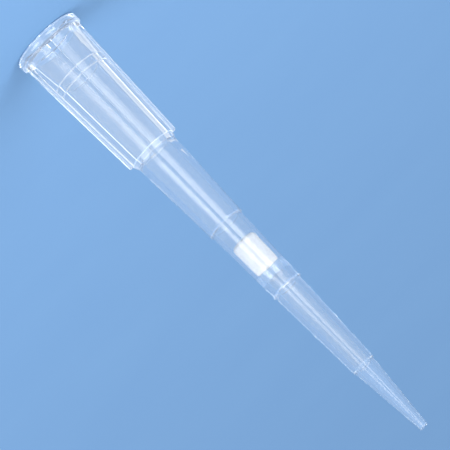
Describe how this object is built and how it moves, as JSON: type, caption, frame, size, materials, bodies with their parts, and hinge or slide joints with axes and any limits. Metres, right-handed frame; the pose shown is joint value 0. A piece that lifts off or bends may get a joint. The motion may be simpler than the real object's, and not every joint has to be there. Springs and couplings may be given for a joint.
{
  "type": "pipette tip",
  "caption": "Slender clear plastic pipette tip: a ribbed push-fit collar, a stepped tapering barrel with volume rings, a fine outlet and a white porous filter plug inside.",
  "frame": {"origin": "centre of the collar's mouth, on the plane that the tip stands on", "axes": "+Z along the tip's axis from the mouth of the collar to the outlet"},
  "size_m": [0.0074, 0.0074, 0.054],
  "materials": {
    "clear_polypropylene": "clear injection moulded polypropylene, glossy, very slightly milky",
    "porous_polyethylene": "white sintered porous polyethylene, matte and finely granular"
  },
  "bodies": {
    "root": {"tip_body": "clear_polypropylene", "filter_plug": "porous_polyethylene"}
  },
  "joints": []
}
